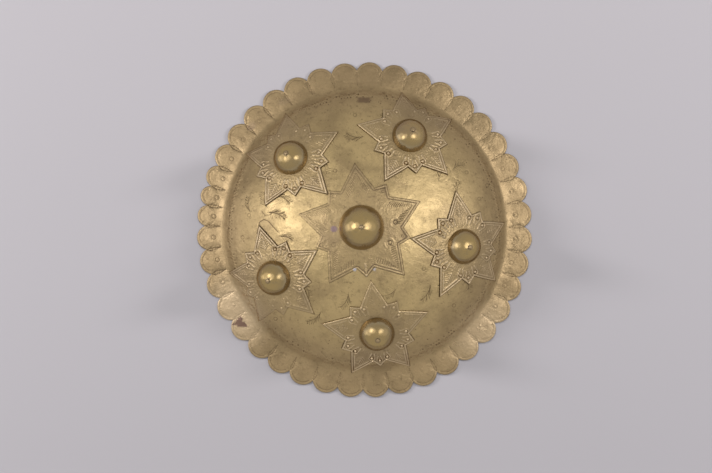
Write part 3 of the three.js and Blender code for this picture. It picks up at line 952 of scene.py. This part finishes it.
# Near its foot each boss is painted a duller, greyer brass: a painted reflection tone
foot_reflection_tone, foot_reflection_share = (0.41, 0.33, 0.205), 0.8
for name, star in stars.items():
    foot_radius, height = boss_sizes[name]
    ball = (foot_radius**2 + height**2) / (2 * height)
    middle = plate_top + gap + height - ball
    bpy.ops.mesh.primitive_uv_sphere_add(segments=96, ring_count=64, radius=ball * MM)
    boss = bpy.context.object
    boss.name = f"boss_{name}_cap"
    bpy.ops.object.mode_set(mode="EDIT")
    bpy.ops.mesh.select_all(action="SELECT")
    bpy.ops.mesh.bisect(plane_co=(0, 0, (ball - height) * MM), plane_no=(0, 0, 1),
                        clear_inner=True)
    bpy.ops.mesh.select_all(action="SELECT")
    top = math.sqrt(ball**2 - hole_radius**2)
    bpy.ops.mesh.bisect(plane_co=(0, 0, top * MM), plane_no=(0, 0, 1), clear_outer=True)
    bpy.ops.object.mode_set(mode="OBJECT")
    place = star_place(star)
    foot_z = (ball - height) * MM
    for vertex in boss.data.vertices:
        x, y, z = vertex.co / MM
        angle = math.atan2(y, x)
        dent = 0.10 * math.sin(2 * angle + star["turn"]) * (z - foot_z / MM) / height
        dent += 0.05 * math.sin(5 * angle + z / 3 + star["angle"])
        vertex.co *= 1 + dent / ball
    bpy.ops.object.modifier_add(type="SOLIDIFY")
    boss.modifiers["Solidify"].thickness = boss_wall * MM
    boss.modifiers["Solidify"].offset = -1
    bpy.ops.object.modifier_apply(modifier="Solidify")
    darkening, shares = [], []
    for vertex in boss.data.vertices:
        x, y, z = vertex.co / MM
        lift = seat_height(place, x, y) - (plate_top + gap)
        near_foot = min(max(1 - (z - foot_z / MM) / foot_blend, 0), 1)
        vertex.co.z += (lift * near_foot + middle) * MM
        share = math.hypot(x, y) / foot_radius
        # Painted shade, darker towards the foot
        shaded = min(max((share - edge_shade_start) / edge_shade_width, 0), 1)
        shares.append(share)
        round_rivet = min(max((rivet_ring - math.hypot(x, y)) / rivet_ring_width, 0), 1)
        darkening.append(-edge_shade * shaded - rivet_grime * round_rivet)
    boss.data.transform(place)
    marks = boss.data.attributes.new("relief", "FLOAT", "POINT")
    marks.data.foreach_set("value", darkening)
    spots = np.array([vertex.co for vertex in boss.data.vertices]) / MM
    patch = boss.data.attributes.new("patch", "FLOAT_COLOR", "POINT")
    patches = patch_colours(spots, stains_and_painted_light)
    # Painted reflection tone near the foot
    foot_tone_share = np.clip((np.array(shares) - foot_tone_start) / foot_tone_width, 0, 1) * foot_reflection_share
    patches[foot_tone_share > patches[:, 3], :3] = foot_reflection_tone
    patches[:, 3] = np.maximum(patches[:, 3], foot_tone_share)
    patch.data.foreach_set("color", patches.ravel())
    bpy.ops.object.shade_smooth_by_angle(angle=50 * degrees)
    boss.data.materials.append(boss_brass)
    bpy.ops.object.select_all(action="DESELECT")
    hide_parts(f"boss_{name}")
    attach(boss, "root")

# The rivets
# Soft brass wire through body, plate and boss, with a small domed head on the boss and a tail
# peened flat against the back of the sheet.
rivet_brass = aged_brass("rivet_brass", (0.42, 0.305, 0.165), (0.12, 0.08, 0.045),
                         (0.5, 0.37, 0.2), 0.34, 0.4, 0.5)
shank_radius = 1.5
head_radius, head_height = 2.35, 1.2
head_profile = ((0.96, 0), (1, 0.2), (0.9, 0.55), (0.66, 0.84), (0.36, 0.97), (0.1, 1))
tail_radius, tail_height, tail_gap = 2.6, 1.0, 0.7
head_grime = -0.3
for name, star in stars.items():
    _, height = boss_sizes[name]
    tail_top = -sheet - tail_gap
    seat = plate_top + gap + height + gap
    profile = [
        (tail_radius * 0.7, tail_top - tail_height),
        (tail_radius, tail_top - tail_height / 2),
        (tail_radius, tail_top),
        (shank_radius, tail_top),
        (shank_radius, seat),
    ]
    for radius_share, height_share in head_profile:
        profile.append((head_radius * radius_share, seat + head_height * height_share))
    first_radius, first_height = profile[0]
    bpy.ops.mesh.primitive_circle_add(vertices=32, radius=first_radius * MM, fill_type="NGON",
                                      location=(0, 0, first_height * MM))
    rivet = bpy.context.object
    rivet.name = f"rivet_{name}_wire"
    bpy.ops.object.transform_apply(location=True, rotation=True, scale=True)
    bpy.ops.object.mode_set(mode="EDIT")
    bpy.ops.mesh.select_all(action="SELECT")
    last_radius, last_height = first_radius, first_height
    for radius, level in profile[1:]:
        bpy.ops.mesh.extrude_region_move(
            TRANSFORM_OT_translate={"value": (0, 0, (level - last_height) * MM)})
        share = radius / last_radius
        bpy.ops.transform.resize(value=(share, share, 1))
        last_radius, last_height = radius, level
    bpy.ops.mesh.select_all(action="SELECT")
    bpy.ops.mesh.normals_make_consistent(inside=False)
    bpy.ops.object.mode_set(mode="OBJECT")
    darkening = [head_grime * (vertex.co.to_2d().length > head_radius * 0.85 * MM)
             for vertex in rivet.data.vertices]
    rivet.data.transform(star_place(star))
    marks = rivet.data.attributes.new("relief", "FLOAT", "POINT")
    marks.data.foreach_set("value", darkening)
    patch = rivet.data.attributes.new("patch", "FLOAT_COLOR", "POINT")
    patch.data.foreach_set("color", [0.0] * 4 * len(rivet.data.vertices))
    bpy.ops.object.shade_smooth_by_angle(angle=40 * degrees)
    rivet.data.materials.append(rivet_brass)
    bpy.ops.object.select_all(action="DESELECT")
    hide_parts(f"rivet_{name}")
    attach(rivet, "root")

# The room
# A pale lilac-grey board under the shield. Soft lamps and pale walls at both sides show in the
# brass, a window and two low lamps light the board, and the camera looks straight down.
bpy.ops.mesh.primitive_plane_add(size=8, location=(0, 0, 0))
board = bpy.context.object
board.name = "board"
board_paint = bpy.data.materials.new("board_paint")
board_paint.use_nodes = True
paint = board_paint.node_tree.nodes["Principled BSDF"]
paint.inputs["Base Color"].default_value = (0.30, 0.289, 0.298, 1)
paint.inputs["Roughness"].default_value = 0.85
board.data.materials.append(board_paint)


def lamp(name, at, aim, size, power, colour, seen_by):
    """A round soft lamp, seen only by shiny things or only by dull ones"""
    light = bpy.data.lights.new(name, "AREA")
    light.shape = "DISK"
    light.size = size
    light.energy = power
    light.color = colour
    holder = bpy.data.objects.new(name, light)
    bpy.context.collection.objects.link(holder)
    holder.location = at
    holder.rotation_euler = (Vector(aim) - Vector(at)).to_track_quat("-Z", "Y").to_euler()
    holder.visible_camera = False
    holder.visible_diffuse = seen_by == "dull"
    holder.visible_glossy = seen_by == "shiny"


white = (0.98, 0.98, 1.07)
lamp_white = (1.0, 0.97, 1.0)
lamp("soft_left", (-0.33, 0.09, 0.75), (-0.05, 0.01, 0.04), 0.42, 0.27, white, "shiny")
lamp("soft_right", (0.455, 0.14, 0.75), (0.07, 0.03, 0.04), 0.42, 0.42, white, "shiny")
lamp("point_left", (-0.31, 0.04, 0.42), (-0.05, 0.0, 0.04), 0.2, 0.2, white, "shiny")
lamp("point_right", (0.42, 0.05, 0.95), (0.05, 0.0, 0.04), 0.42, 0.68, white, "shiny")
lamp("wall_left", (-1.3, 0.1, 1.0), (0, 0, 0), 1.2, 1.9, white, "shiny")
lamp("wall_right", (1.3, 0.1, 1.0), (0, 0, 0), 1.2, 0.8, white, "shiny")
lamp("side_left", (-1.6, 0.0, 0.45), (0, 0, 0), 0.8, 1.0, white, "shiny")
lamp("low_left", (-2.15, 0.46, 0.69), (0, 0, 0), 0.4, 66, lamp_white, "dull")
lamp("low_right", (2.1, 0.52, 0.74), (0, 0, 0), 0.4, 52, lamp_white, "dull")
lamp("window", (-0.1, 1.4, 1.3), (0, 0, 0), 0.9, 20, (1.0, 0.95, 0.97), "dull")

world = bpy.data.worlds.new("room")
bpy.context.scene.world = world
world.use_nodes = True
sky = world.node_tree.nodes["Background"]
sky.inputs["Color"].default_value = (0.98, 0.98, 1.0, 1)
sky.inputs["Strength"].default_value = 0.66
bpy.context.scene.view_settings.view_transform = "Standard"

camera_height = 1400
view_width = 744.3
sensor_width = 36
camera_data = bpy.data.cameras.new("camera")
camera_data.sensor_width = sensor_width
camera_data.lens = sensor_width * camera_height / view_width
camera = bpy.data.objects.new("camera", camera_data)
bpy.context.collection.objects.link(camera)
camera.location = (-0.0089, -0.0070, camera_height * MM)
bpy.context.scene.camera = camera
